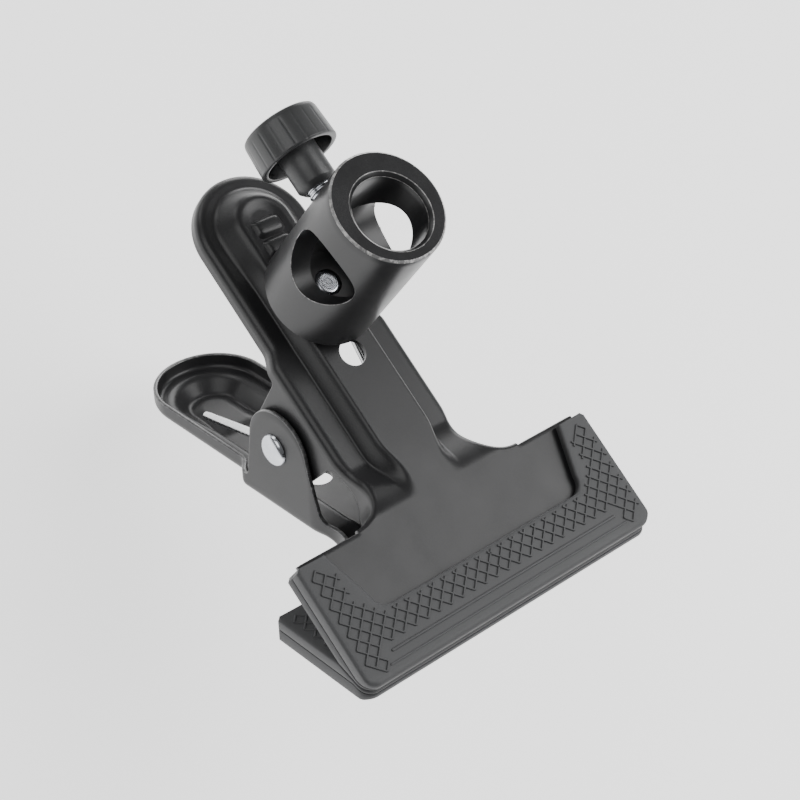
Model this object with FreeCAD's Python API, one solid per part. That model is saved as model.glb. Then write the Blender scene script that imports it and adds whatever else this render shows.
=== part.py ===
import FreeCAD, Part
import math
import os

# Spring clamp with a 16 mm (5/8 inch) spigot receiver.
# Millimetres.  Origin: where the receiver's upright bore and its cross bore meet.
# +X points along the clamp to the jaw tips, +Z up the receiver, +Y across the clamp.

V = FreeCAD.Vector

# ---- receiver -------------------------------------------------------------
SPIGOT_BORE_R = 8.2            # takes a 16 mm spigot
RECEIVER_R = 12.5
RECEIVER_AXIS_X = -1.2         # the body is set back, so the wall is thicker at the clamp screw
RECEIVER_TOP_Z = 16.0
RECEIVER_BASE_Z = -21.0
SOCKET_FLOOR_Z = -16.2
MOUTH_CHAMFER = 0.8
RIM_CHAMFER = 0.5
FOOT_R = 8.0                   # small foot that stands on the lever's rib
FOOT_HEIGHT = 2.0

# ---- clamp screw (M6 stud moulded into a knob) ----------------------------
STUD_R = 3.0
STUD_TIP_R = 2.2
STUD_TIP_LENGTH = 1.5
STUD_PLAY = 0.04               # running clearance in the receiver wall and in the knob
STUD_TIP_X = -SPIGOT_BORE_R    # backed off until it is flush with the bore
KNOB_WALL = 2.2                # plastic left behind the stud
KNOB_R = 8.9
KNOB_END_R = 8.5
KNOB_FRONT_X = -22.9
KNOB_BACK_X = -31.2
KNOB_EDGE = 0.8
CUP_R = 7.5
CUP_DEPTH = 5.2
STEM_R = 4.4
STEM_TIP_R = 3.3
STEM_FRONT_X = -15.4
STEM_TAPER = 1.2
STEM_ROOT = 0.5                # how far the stem is sunk into the floor of the cup
KNOB_FLUTES = 20
FLUTE_R = 0.7
FLUTE_OUTSET = 0.25            # flute centre lies outside the rim
FLUTE_START = 1.8

# ---- receiver screw (M6 pan head, from beneath) ---------------------------
SCREW_R = 3.0
SCREW_PLAY = 0.02
SCREW_TIP_R = 2.2
SCREW_TIP_CHAMFER = 0.8
SCREW_HEAD_R = 5.2
SCREW_HEAD_HEIGHT = 3.0
SCREW_HEAD_EDGE = 1.0
SCREW_RECESS_R = 1.7
SCREW_RECESS_DEPTH = 1.8

# ---- levers (1 mm sheet) --------------------------------------------------
SHEET = 1.0
CREST_Z = RECEIVER_BASE_Z - FOOT_HEIGHT   # outside of the rib and of the jaw plate
TAIL_R = 13.8
UPPER_EAR_Y = 15.4                        # outer half width of the upper lever at its ears
EAR_PLAY = 0.65
LOWER_EAR_Y = UPPER_EAR_Y + EAR_PLAY + SHEET
JOG_START_X = 3.5
JOG_END_X = 7.5
FOLD_R = 2.0                              # outside bend of the skirts
RIB_FOOT_Y = 9.0                          # half width of the rib, whose round end is the thumb rest
RIB_CREST_Y = 7.0
RIB_RUN_ON = 2.0                          # how far the rib runs into the jaw plate
NECK_START_X = 30.5
SHOULDER_END_X = 34.5                     # the flats rise into the jaw plate from here
PLATE_START_X = 44.0
NECK_X = 38.0
NECK_IN = 1.2                             # how far the neck is drawn in
PLATE_REAR_X = 47.0
PLATE_FRONT_X = 70.0
PLATE_Y = 38.4
PLATE_CORNER_R = 3.0
FLANGE_Z = -30.4                          # free edge of the neck flange
EAR_REAR_X = 9.7
EAR_FRONT_SLOPE = 1.5
EAR_NOSE_X = 20.8                         # the ear's round end
EAR_NOSE_Z = -42.9
EAR_NOSE_R = 9.3
RIB_HOLE_X = 13.0
RIB_HOLE_R = 3.05
RIB_SCREW_HOLE_R = 3.1
BAR_FROM_TAIL = (1.5, 6.3)                # anti-slip bars on the thumb rest
BAR_LENGTH = 6.2
BAR_WIDTH = 3.3
BAR_HEIGHT = 0.5
BAR_ROOT = 0.4
THUMB_DISH_DEPTH = 0.9
THUMB_DISH_R = 5.4
THUMB_DISH_LENGTH = 10.5                  # from the centre of the round tail

# ---- pivot ----------------------------------------------------------------
PIVOT_X = 20.0
PIVOT_Z = -43.0
MIRROR_DEG = 19.2                         # slope of the plane the two levers mirror about
PIN_R = 2.5
PIN_PLAY = 0.05                           # the upper lever turns on the pin
PIN_GRIP = 0.02                           # the lower lever turns with it
RIVET_HEAD_R = 3.7
RIVET_HEAD_HEIGHT = 1.7
RIVET_HEAD_PLAY = 0.02

# ---- where the two stampings differ ---------------------------------------
# shoulder_z is the outside of the flats beside the rib, skirt_z the free edge of the skirts
UPPER_LEVER = {
    "ear_y": UPPER_EAR_Y,
    "ear_front_x": 31.0,
    "tail_x": -21.5,
    "shoulder_z": -27.6,
    "skirt_z": -31.4,
    "pin_hole_r": PIN_R + PIN_PLAY,
}
LOWER_LEVER = {
    "ear_y": LOWER_EAR_Y,
    "ear_front_x": 33.4,
    "tail_x": -25.5,
    "shoulder_z": -26.8,
    "skirt_z": -31.0,
    "pin_hole_r": PIN_R + PIN_GRIP,
}

# ---- jaw pads -------------------------------------------------------------
PAD_Y = 40.4
PAD_REAR_X = 47.6
PAD_FRONT_X = 75.5
PAD_LIP = 2.0                             # rubber over the outside of the plate
PAD_SOLE = 2.5                            # rubber under the plate, the gripping face
PAD_FRONT_CORNER_R = 3.0
PAD_REAR_CORNER_R = 1.0
PAD_EDGE_R = 0.6
WINDOW_REAR_Y = 33.2
WINDOW_FRONT_Y = 29.2
WINDOW_FRONT_X = 62.4
WINDOW_CORNER_R = 3.5
PAD_GAP = 0.2                             # half of it on each side of the mirror plane
LINE_X = (70.6, 73.2)                     # two raised lines along the front edge
LINE_Y = (31.5, 33.5)
LINE_WIDTH = 0.7
LINE_HEIGHT = 0.3
LINE_ROOT = 0.2

# ---- torsion spring -------------------------------------------------------
WIRE_R = 1.05
COIL_R = 5.0
COIL_TURNS = 8
COIL_PITCH = 2.3
COIL_Y = 0.9                              # middle of the coil, a little to one side
LEG_TIP_X = -16.4
LEG_TIP_Z = -30.5

BIG = 200.0                               # longer than the whole clamp, for cutting tools
CUT_OVER = 1.0                            # how far a cutting tool stands out of what it cuts
NEAR = 1e-3


def block(x0, x1, y0, y1, z0, z1):
    return Part.makeBox(x1 - x0, y1 - y0, z1 - z0, V(x0, y0, z0))


def prism_z(face_wire, z0, z1):
    """Extrude a wire drawn at z = 0 between two heights."""
    face = Part.Face(face_wire)
    face.translate(V(0, 0, z0))
    return face.extrude(V(0, 0, z1 - z0))


def side_prism(points, half_width):
    """Extrude an XZ outline across the clamp."""
    corners = [V(x, -half_width, z) for x, z in points]
    wire = Part.makePolygon(corners + corners[:1])
    return Part.Face(wire).extrude(V(0, 2 * half_width, 0))


def arc(centre, radius, start_deg, mid_deg, end_deg):
    """Arc in the z = 0 plane."""
    def at(deg):
        a = math.radians(deg)
        return V(centre[0] + radius * math.cos(a), centre[1] + radius * math.sin(a), 0)
    return Part.Arc(at(start_deg), at(mid_deg), at(end_deg)).toShape()


def line(a, b):
    return Part.makeLine(V(a[0], a[1], 0), V(b[0], b[1], 0))


def mirrored_outline(upper_edges, rear, front):
    """Close an outline from the edges of its +Y half."""
    lower_edges = [e.mirror(V(0, 0, 0), V(0, 1, 0)) for e in upper_edges]
    edges = upper_edges + lower_edges
    if front is not None:
        edges.append(line((front[0], front[1]), (front[0], -front[1])))
    if rear is not None:
        edges.append(line((rear[0], rear[1]), (rear[0], -rear[1])))
    return Part.Wire(Part.__sortEdges__(edges))


def handle_outline(kind, inset, neck):
    """Plan of the handle; with neck it goes on round the flare to the back of the jaw plate."""
    tail_x = kind["tail_x"]
    tail_r = TAIL_R - inset
    side_y = kind["ear_y"] - inset
    neck_y = side_y - NECK_IN
    flare_y = kind["ear_y"] - NECK_IN + PLATE_REAR_X - NECK_X
    flare_r = flare_y - neck_y
    edges = [
        arc((tail_x, 0), tail_r, 180, 135, 90),
        line((tail_x, tail_r), (JOG_START_X, tail_r)),
        line((JOG_START_X, tail_r), (JOG_END_X, side_y)),
        line((JOG_END_X, side_y), (NECK_START_X, side_y)),
    ]
    if not neck:
        return mirrored_outline(edges, None, (NECK_START_X, side_y))
    edges.append(line((NECK_START_X, side_y), (NECK_X, neck_y)))
    edges.append(arc((NECK_X, flare_y), flare_r, -90, -45, 0))
    return mirrored_outline(edges, None, (NECK_X + flare_r, flare_y))


def plate_outline():
    x0, x1, y, r = PLATE_REAR_X, PLATE_FRONT_X, PLATE_Y, PLATE_CORNER_R
    edges = [
        line((x0, y), (x1 - r, y)),
        arc((x1 - r, y - r), r, 90, 45, 0),
    ]
    return mirrored_outline(edges, (x0, y), (x1, y - r))


def rib_outline(tail_x, half, z):
    """Plan of the rib at one height, from its round end at the tail into the jaw plate."""
    end_x = PLATE_REAR_X + RIB_RUN_ON
    edges = [
        arc((tail_x, 0), half, 180, 135, 90),
        line((tail_x, half), (end_x, half)),
    ]
    wire = mirrored_outline(edges, None, (end_x, half))
    wire.translate(V(0, 0, z))
    return wire


def lever_body(kind, inset, drop):
    """Solid under the lever's outside (inset = drop = 0) or under its inside (sheet thickness)."""
    top = CREST_Z - drop
    shoulder = kind["shoulder_z"] - drop
    floor = PIVOT_Z - 3 * EAR_NOSE_R
    handle = prism_z(handle_outline(kind, inset, False), floor, shoulder)
    if inset == 0:
        # only the outside of the fold is rounded
        folds = [e for e in handle.Edges
                 if e.BoundBox.ZMin > shoulder - NEAR and e.BoundBox.XLength > NEAR]
        handle = handle.makeFillet(FOLD_R, folds)
    whole = prism_z(handle_outline(kind, inset, True), floor, top)
    # the flats rise along a ramp into the level of the jaw plate
    neck_zone = side_prism([(NECK_START_X, floor), (NECK_START_X, shoulder), (SHOULDER_END_X, shoulder),
                            (PLATE_START_X, top), (PLATE_FRONT_X, top), (PLATE_FRONT_X, floor)], BIG / 2)
    # the sheet keeps most of its thickness on the rib's sloping sides
    side_inset = inset / 2
    rib = Part.makeLoft([rib_outline(kind["tail_x"], RIB_FOOT_Y - side_inset, shoulder),
                         rib_outline(kind["tail_x"], RIB_CREST_Y - side_inset, top)], True, True)
    return handle.fuse([whole.common(neck_zone), whole.common(rib)])


def skirt_keep(kind):
    """XZ region that is kept of the folded blank: skirts, ears and neck flange."""
    high = CREST_Z + CUT_OVER
    plate_under = CREST_Z - SHEET
    end_x = kind["tail_x"] - TAIL_R - CUT_OVER
    skirt_z = kind["skirt_z"]
    ear_front_x = kind["ear_front_x"]
    outline = side_prism([(end_x, high), (end_x, skirt_z), (EAR_REAR_X, skirt_z),
                          (EAR_NOSE_X - EAR_NOSE_R, EAR_NOSE_Z), (EAR_NOSE_X + EAR_NOSE_R, EAR_NOSE_Z),
                          (ear_front_x, FLANGE_Z - EAR_FRONT_SLOPE),
                          (ear_front_x + EAR_FRONT_SLOPE, FLANGE_Z),
                          (PLATE_START_X, FLANGE_Z), (PLATE_REAR_X - CUT_OVER, plate_under),
                          (PLATE_FRONT_X, plate_under), (PLATE_FRONT_X, high)], BIG / 2)
    nose = Part.makeCylinder(EAR_NOSE_R, BIG, V(EAR_NOSE_X, -BIG / 2, EAR_NOSE_Z), V(0, 1, 0))
    return outline.fuse(nose)


def bar_stop(x):
    """One raised anti-slip bar on the outside of the thumb rest."""
    floor = CREST_Z - THUMB_DISH_DEPTH
    return block(x - BAR_WIDTH / 2, x + BAR_WIDTH / 2, -BAR_LENGTH / 2, BAR_LENGTH / 2,
                 floor - BAR_ROOT, floor + BAR_HEIGHT)


def thumb_dish(tail_x, drop):
    """Shallow hollow pressed into the thumb rest."""
    end_x = tail_x + THUMB_DISH_LENGTH
    edges = [
        arc((tail_x, 0), THUMB_DISH_R, 180, 135, 90),
        line((tail_x, THUMB_DISH_R), (end_x, THUMB_DISH_R)),
    ]
    wire = mirrored_outline(edges, None, (end_x, THUMB_DISH_R))
    return prism_z(wire, CREST_Z - THUMB_DISH_DEPTH - drop, CREST_Z + CUT_OVER - drop)


def upright(x, radius, z0, z1):
    """Cylinder parallel to Z on the middle plane, as a pin or as a cutting tool."""
    return Part.makeCylinder(radius, z1 - z0, V(x, 0, z0))


def lever(kind, for_receiver):
    """One stamped lever, drawn as the upper one."""
    tail_x = kind["tail_x"]
    outside = lever_body(kind, 0.0, 0.0)
    inside = lever_body(kind, SHEET, SHEET)
    outside = outside.cut(thumb_dish(tail_x, 0.0))
    inside = inside.cut(thumb_dish(tail_x, SHEET))
    shell = outside.cut(inside).common(skirt_keep(kind))
    plate = prism_z(plate_outline(), CREST_Z - SHEET, CREST_Z)
    shell = shell.fuse(plate)
    for along in BAR_FROM_TAIL:
        shell = shell.fuse(bar_stop(tail_x + along))
    pin_hole = Part.makeCylinder(kind["pin_hole_r"], BIG, V(PIVOT_X, -BIG / 2, PIVOT_Z), V(0, 1, 0))
    shell = shell.cut(pin_hole)
    shell = shell.cut(upright(RIB_HOLE_X, RIB_HOLE_R, PIVOT_Z, CREST_Z + CUT_OVER))
    if for_receiver:
        shell = shell.cut(upright(RECEIVER_AXIS_X, RIB_SCREW_HOLE_R, PIVOT_Z, CREST_Z + CUT_OVER))
    return shell.removeSplitter()


def mirror_plane():
    a = math.radians(MIRROR_DEG)
    return V(PIVOT_X, 0, PIVOT_Z), V(-math.sin(a), 0, math.cos(a))


def as_lower(shape):
    """Mirror a piece of the upper jaw into its place on the lower one."""
    point, normal = mirror_plane()
    return shape.mirror(point, normal)


def pad_outline():
    x0, x1, y = PAD_REAR_X, PAD_FRONT_X, PAD_Y
    rr, rf = PAD_REAR_CORNER_R, PAD_FRONT_CORNER_R
    edges = [
        arc((x0 + rr, y - rr), rr, 180, 135, 90),
        line((x0 + rr, y), (x1 - rf, y)),
        arc((x1 - rf, y - rf), rf, 90, 45, 0),
    ]
    return mirrored_outline(edges, (x0, y - rr), (x1, y - rf))


def pad_window():
    """Cut-out in the outer lip that leaves the steel plate bare."""
    r = WINDOW_CORNER_R
    rear_x = PAD_REAR_X - CUT_OVER
    edges = [
        line((rear_x, WINDOW_REAR_Y), (WINDOW_FRONT_X - r, WINDOW_FRONT_Y)),
        arc((WINDOW_FRONT_X - r, WINDOW_FRONT_Y - r), r, 90, 45, 0),
    ]
    return mirrored_outline(edges, (rear_x, WINDOW_REAR_Y), (WINDOW_FRONT_X, WINDOW_FRONT_Y - r))


def jaw_pad():
    top = CREST_Z + PAD_LIP
    sole = CREST_Z - SHEET - PAD_SOLE
    pad = prism_z(pad_outline(), sole, top)
    top_edges = [e for e in pad.Edges if e.BoundBox.ZMin > top - NEAR]
    pad = pad.makeFillet(PAD_EDGE_R, top_edges)
    pad = pad.cut(prism_z(plate_outline(), CREST_Z - SHEET, CREST_Z))
    pad = pad.cut(prism_z(pad_window(), CREST_Z, top + CUT_OVER))
    # the front of the gripping face is bevelled so that the two pads meet flat
    slope = math.radians(MIRROR_DEG)
    front_x = PAD_FRONT_X + CUT_OVER
    near_z = PIVOT_Z + PAD_GAP / 2 / math.cos(slope)
    front_z = near_z + (front_x - PIVOT_X) * math.tan(slope)
    bevel = side_prism([(PIVOT_X, near_z), (front_x, front_z), (front_x, PIVOT_Z)], BIG / 2)
    pad = pad.cut(bevel)
    for x, y in zip(LINE_X, LINE_Y):
        raised = block(x - LINE_WIDTH / 2, x + LINE_WIDTH / 2, -y, y, top - LINE_ROOT, top + LINE_HEIGHT)
        pad = pad.fuse(raised)
    return pad.removeSplitter()


def receiver():
    axis = RECEIVER_AXIS_X
    height = RECEIVER_TOP_Z - RECEIVER_BASE_Z
    body = Part.makeCylinder(RECEIVER_R, height, V(axis, 0, RECEIVER_BASE_Z))
    rims = [e for e in body.Edges if e.BoundBox.ZLength < NEAR]
    body = body.makeChamfer(RIM_CHAMFER, rims)
    body = body.fuse(upright(axis, FOOT_R, CREST_Z, RECEIVER_BASE_Z + RIM_CHAMFER))
    body = body.cut(upright(0, SPIGOT_BORE_R, SOCKET_FLOOR_Z, RECEIVER_TOP_Z))
    mouth_depth = MOUTH_CHAMFER + CUT_OVER
    mouth = Part.makeCone(SPIGOT_BORE_R, SPIGOT_BORE_R + mouth_depth, mouth_depth,
                          V(0, 0, RECEIVER_TOP_Z - MOUTH_CHAMFER))
    body = body.cut(mouth)
    cross = Part.makeCylinder(SPIGOT_BORE_R, BIG, V(0, -BIG / 2, 0), V(0, 1, 0))
    body = body.cut(cross)
    tap = Part.makeCylinder(STUD_R + STUD_PLAY, BIG, V(0, 0, 0), V(-1, 0, 0))
    body = body.cut(tap)
    return body.cut(upright(axis, SCREW_R + SCREW_PLAY, CREST_Z - CUT_OVER, 0))


def clamp_stud():
    shank_end = STUD_TIP_X - STUD_TIP_LENGTH
    inside_knob = KNOB_BACK_X + KNOB_WALL
    shank = Part.makeCylinder(STUD_R, shank_end - inside_knob, V(inside_knob, 0, 0), V(1, 0, 0))
    tip = Part.makeCone(STUD_R, STUD_TIP_R, STUD_TIP_LENGTH, V(shank_end, 0, 0), V(1, 0, 0))
    return shank.fuse(tip).removeSplitter()


def knob():
    length = KNOB_FRONT_X - KNOB_BACK_X
    along = V(1, 0, 0)
    cap = Part.makeCone(KNOB_END_R, KNOB_R, length, V(KNOB_BACK_X, 0, 0), along)
    back = [e for e in cap.Edges if e.BoundBox.XMax < KNOB_BACK_X + NEAR]
    cap = cap.makeFillet(KNOB_EDGE, back)
    cup_floor_x = KNOB_FRONT_X - CUP_DEPTH
    cap = cap.cut(Part.makeCylinder(CUP_R, CUP_DEPTH + CUT_OVER, V(cup_floor_x, 0, 0), along))
    for i in range(KNOB_FLUTES):
        a = 2 * math.pi * i / KNOB_FLUTES
        out = KNOB_R + FLUTE_OUTSET
        centre = V(KNOB_BACK_X + FLUTE_START, out * math.cos(a), out * math.sin(a))
        cap = cap.cut(Part.makeCylinder(FLUTE_R, length, centre, along))
    stem_start = cup_floor_x - STEM_ROOT
    stem_end = STEM_FRONT_X - STEM_TAPER
    stem = Part.makeCylinder(STEM_R, stem_end - stem_start, V(stem_start, 0, 0), along)
    taper = Part.makeCone(STEM_R, STEM_TIP_R, STEM_TAPER, V(stem_end, 0, 0), along)
    body = cap.fuse(stem).fuse(taper)
    return body.cut(Part.makeCylinder(STUD_R + STUD_PLAY, BIG, V(KNOB_BACK_X + KNOB_WALL, 0, 0), along))


def receiver_screw():
    axis = RECEIVER_AXIS_X
    head_top = CREST_Z - SHEET
    head_base = head_top - SCREW_HEAD_HEIGHT
    shank_top = SOCKET_FLOOR_Z - SCREW_TIP_CHAMFER
    shank = upright(axis, SCREW_R, head_top, shank_top)
    tip = Part.makeCone(SCREW_R, SCREW_TIP_R, SCREW_TIP_CHAMFER, V(axis, 0, shank_top))
    head = upright(axis, SCREW_HEAD_R, head_base, head_top)
    low_rim = [e for e in head.Edges if e.BoundBox.ZMax < head_base + NEAR]
    head = head.makeFillet(SCREW_HEAD_EDGE, low_rim)
    recess = upright(axis, SCREW_RECESS_R, head_base, head_base + SCREW_RECESS_DEPTH)
    return shank.fuse(tip).fuse(head).cut(recess)


def pivot_rivet():
    half = LOWER_EAR_Y + RIVET_HEAD_PLAY
    pin = Part.makeCylinder(PIN_R, 2 * half, V(PIVOT_X, -half, PIVOT_Z), V(0, 1, 0))
    dome_r = (RIVET_HEAD_R ** 2 + RIVET_HEAD_HEIGHT ** 2) / (2 * RIVET_HEAD_HEIGHT)
    rivet = pin
    for side in (-1, 1):
        ball = Part.makeSphere(dome_r, V(PIVOT_X, side * (half + RIVET_HEAD_HEIGHT - dome_r), PIVOT_Z))
        cap_zone = Part.makeCylinder(dome_r, RIVET_HEAD_HEIGHT + CUT_OVER,
                                     V(PIVOT_X, side * half, PIVOT_Z), V(0, side, 0))
        rivet = rivet.fuse(ball.common(cap_zone))
    return rivet.removeSplitter()


def torsion_spring():
    """Close coil round the pivot, with one leg under each handle."""
    reach_x = LEG_TIP_X - PIVOT_X
    reach_z = LEG_TIP_Z - PIVOT_Z
    # the upper leg leaves the coil at a tangent, and the lower leg is its mirror image
    upper_angle = math.atan2(reach_z, reach_x) - math.acos(COIL_R / math.hypot(reach_x, reach_z))
    lower_angle = 2 * math.radians(MIRROR_DEG) - upper_angle
    turns = COIL_TURNS + (upper_angle - lower_angle) / (2 * math.pi)
    span = turns * COIL_PITCH

    helix = Part.makeHelix(COIL_PITCH, span, COIL_R, 0, True)
    profile = Part.Wire(Part.makeCircle(WIRE_R, V(COIL_R, 0, 0), V(0, 1, 0)))
    coil = Part.Wire(helix).makePipeShell([profile], True, True)
    across = FreeCAD.Rotation(V(math.cos(upper_angle), 0, math.sin(upper_angle)),
                              V(-math.sin(upper_angle), 0, math.cos(upper_angle)),
                              V(0, -1, 0), "XYZ")
    coil.Placement = FreeCAD.Placement(V(PIVOT_X, COIL_Y + span / 2, PIVOT_Z), across)

    def leg(side, angle, tip_x, tip_z):
        leg_y = COIL_Y + side * span / 2
        start = V(PIVOT_X + COIL_R * math.cos(angle), leg_y, PIVOT_Z + COIL_R * math.sin(angle))
        direction = V(tip_x, leg_y, tip_z) - start
        return Part.makeCylinder(WIRE_R, direction.Length, start, direction)

    point, normal = mirror_plane()
    low_tip = V(LEG_TIP_X, 0, LEG_TIP_Z)
    low_tip = low_tip - normal * (2 * (low_tip - point).dot(normal))
    upper_leg = leg(1, upper_angle, LEG_TIP_X, LEG_TIP_Z)
    lower_leg = leg(-1, lower_angle, low_tip.x, low_tip.z)
    return coil.fuse([upper_leg, lower_leg])


parts = {
    "receiver": receiver(),
    "receiver_screw": receiver_screw(),
    "clamp_stud": clamp_stud(),
    "knob": knob(),
    "upper_lever": lever(UPPER_LEVER, True),
    "lower_lever": as_lower(lever(LOWER_LEVER, False)),
    "upper_jaw_pad": jaw_pad(),
    "lower_jaw_pad": as_lower(jaw_pad()),
    "pivot_rivet": pivot_rivet(),
    "torsion_spring": torsion_spring(),
}

os.makedirs("parts", exist_ok=True)
for name, shape in parts.items():
    print(name, "solids", len(shape.Solids), "valid", shape.isValid(), "volume", round(shape.Volume, 1))
    shape.exportStep("parts/" + name + ".step")
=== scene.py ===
import math

import bmesh
import bpy
import numpy as np
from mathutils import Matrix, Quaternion, Vector


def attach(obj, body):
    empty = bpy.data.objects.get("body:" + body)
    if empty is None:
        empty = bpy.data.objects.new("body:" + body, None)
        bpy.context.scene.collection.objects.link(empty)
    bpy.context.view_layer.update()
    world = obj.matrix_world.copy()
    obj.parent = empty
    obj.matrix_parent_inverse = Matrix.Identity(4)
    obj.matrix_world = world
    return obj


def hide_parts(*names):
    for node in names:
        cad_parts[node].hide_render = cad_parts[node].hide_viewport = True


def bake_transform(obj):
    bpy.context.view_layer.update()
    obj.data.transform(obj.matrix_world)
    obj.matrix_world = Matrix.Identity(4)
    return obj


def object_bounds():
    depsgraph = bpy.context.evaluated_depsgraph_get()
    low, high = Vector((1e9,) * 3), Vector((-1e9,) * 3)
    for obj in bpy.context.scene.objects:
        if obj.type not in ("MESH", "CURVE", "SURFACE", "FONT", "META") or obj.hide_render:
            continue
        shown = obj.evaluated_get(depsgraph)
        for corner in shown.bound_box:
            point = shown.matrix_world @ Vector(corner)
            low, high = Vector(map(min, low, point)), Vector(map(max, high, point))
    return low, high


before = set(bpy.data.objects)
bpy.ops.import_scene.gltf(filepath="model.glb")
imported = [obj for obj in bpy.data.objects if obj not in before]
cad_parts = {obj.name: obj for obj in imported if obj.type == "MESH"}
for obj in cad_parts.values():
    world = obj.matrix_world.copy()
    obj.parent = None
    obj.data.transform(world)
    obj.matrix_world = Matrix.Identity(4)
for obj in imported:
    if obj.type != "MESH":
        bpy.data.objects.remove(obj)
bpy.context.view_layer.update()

# Looks of the spring clamp.  Lengths are millimetres in the CAD's own frame and become
# metres when a mesh is made; the floor, lights and camera are placed in metres.  Both levers
# and both pads are drawn as the upper one, and the lower ones are mirrored about the plane
# where the jaws meet.

MM = 0.001
RNG = np.random.default_rng(11)

# ---- sizes shared with the CAD --------------------------------------------
CREST_Z = -23.0
SHEET = 1.0
TAIL_R = 13.8
JOG_X = (2.9, 8.1)
RIB_FOOT = 9.0
RIB_CREST = 7.0
NECK_START_X = 30.5
NECK_X = 38.0
NECK_IN = 1.2
RAMP_X = (33.2, 46.0)
PLATE_X = (47.0, 70.0)
PLATE_Y = 38.4
FLANGE_Z = -30.4
FLARE_END_FOLD = 0.8
BAR_FROM_TAIL = (1.5, 6.3)
RIB_HOLE = (13.0, 3.05)
PIVOT = np.array([20.0, 0.0, -43.0])
MIRROR_DEG = 19.2
MIRROR_NORMAL = np.array([-math.sin(math.radians(MIRROR_DEG)), 0.0, math.cos(math.radians(MIRROR_DEG))])

UPPER = dict(ear_y=15.4, front_x=31.0, nose=(20.6, -43.0), nose_r=9.2,
             tail_x=-21.5, shoulder=-27.6, skirt=-31.4)
LOWER = dict(ear_y=17.05, front_x=33.4, nose=(20.9, -42.8), nose_r=9.4,
             tail_x=-25.5, shoulder=-26.8, skirt=-31.0)



# ---- small helpers --------------------------------------------------------
def unit(v):
    return v / np.linalg.norm(v)


def step(t):
    """Smooth step from 0 to 1."""
    t = np.clip(t, 0.0, 1.0)
    return t * t * (3.0 - 2.0 * t)


def soft_min(a, b, k):
    h = np.clip(0.5 + 0.5 * (b - a) / k, 0.0, 1.0)
    return b * (1 - h) + a * h - k * h * (1 - h)


def soft_max(a, b, k):
    return -soft_min(-a, -b, k)


def soften(points, reach):
    """Polyline whose inner corners are swapped for short curves."""
    points = [np.asarray(p, float) for p in points]
    out = [points[0]]
    for before, corner, after in zip(points, points[1:], points[2:]):
        r = min(reach, np.linalg.norm(before - corner) / 2, np.linalg.norm(after - corner) / 2)
        a = corner + unit(before - corner) * r
        b = corner + unit(after - corner) * r
        for t in np.linspace(0, 1, 6):
            out.append((1 - t) ** 2 * a + 2 * t * (1 - t) * corner + t * t * b)
    out.append(points[-1])
    return np.array(out)


def spaced(points, count):
    """The same polyline with evenly spaced points."""
    points = np.asarray(points, float)
    run = np.concatenate([[0], np.cumsum(np.linalg.norm(np.diff(points, axis=0), axis=1))])
    at = np.linspace(0, run[-1], count)
    return np.column_stack([np.interp(at, run, points[:, k]) for k in range(points.shape[1])])


def grid_faces(rows, columns, first=0, wrap=False):
    """Quads of a grid stored row by row; wrap joins the last column to the first."""
    faces = []
    for i in range(rows - 1):
        for j in range(columns if wrap else columns - 1):
            k = (j + 1) % columns
            a, b = first + i * columns, first + (i + 1) * columns
            faces.append((a + j, a + k, b + k, b + j))
    return faces


def new_object(name, verts, faces, outward=True):
    """Object from points in millimetres and the faces between them."""
    mesh = bpy.data.meshes.new(name)
    faces = [tuple(int(i) for i in f) for f in faces]
    mesh.from_pydata((np.asarray(verts, float) * MM).tolist(), [], faces)
    obj = bpy.data.objects.new(name, mesh)
    bpy.context.scene.collection.objects.link(obj)
    clean(obj, outward)
    return obj


def clean(obj, outward=True):
    """Weld the mesh, drop faces without area and, if asked, turn the faces outward."""
    bm = bmesh.new()
    bm.from_mesh(obj.data)
    bmesh.ops.remove_doubles(bm, verts=bm.verts, dist=2e-6)
    bmesh.ops.dissolve_degenerate(bm, edges=bm.edges, dist=1e-7)
    if outward:
        bmesh.ops.recalc_face_normals(bm, faces=bm.faces)
    bm.to_mesh(obj.data)
    bm.free()


def bake(obj):
    """Turn the object's modifiers into its mesh."""
    graph = bpy.context.evaluated_depsgraph_get()
    mesh = bpy.data.meshes.new_from_object(obj.evaluated_get(graph))
    obj.modifiers.clear()
    obj.data = mesh


def cut(obj, tool):
    """Take one mesh away from another."""
    m = obj.modifiers.new("cut", "BOOLEAN")
    m.operation = "DIFFERENCE"
    m.solver = "EXACT"
    m.object = tool
    bake(obj)
    bpy.data.objects.remove(tool)


# a rounded cut edge, as (share of the sheet's thickness, share of the rise)
RIM_PROFILE = ((0.07, 0.55), (0.2, 0.92), (0.5, 1.0), (0.8, 0.92), (0.93, 0.55))


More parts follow.
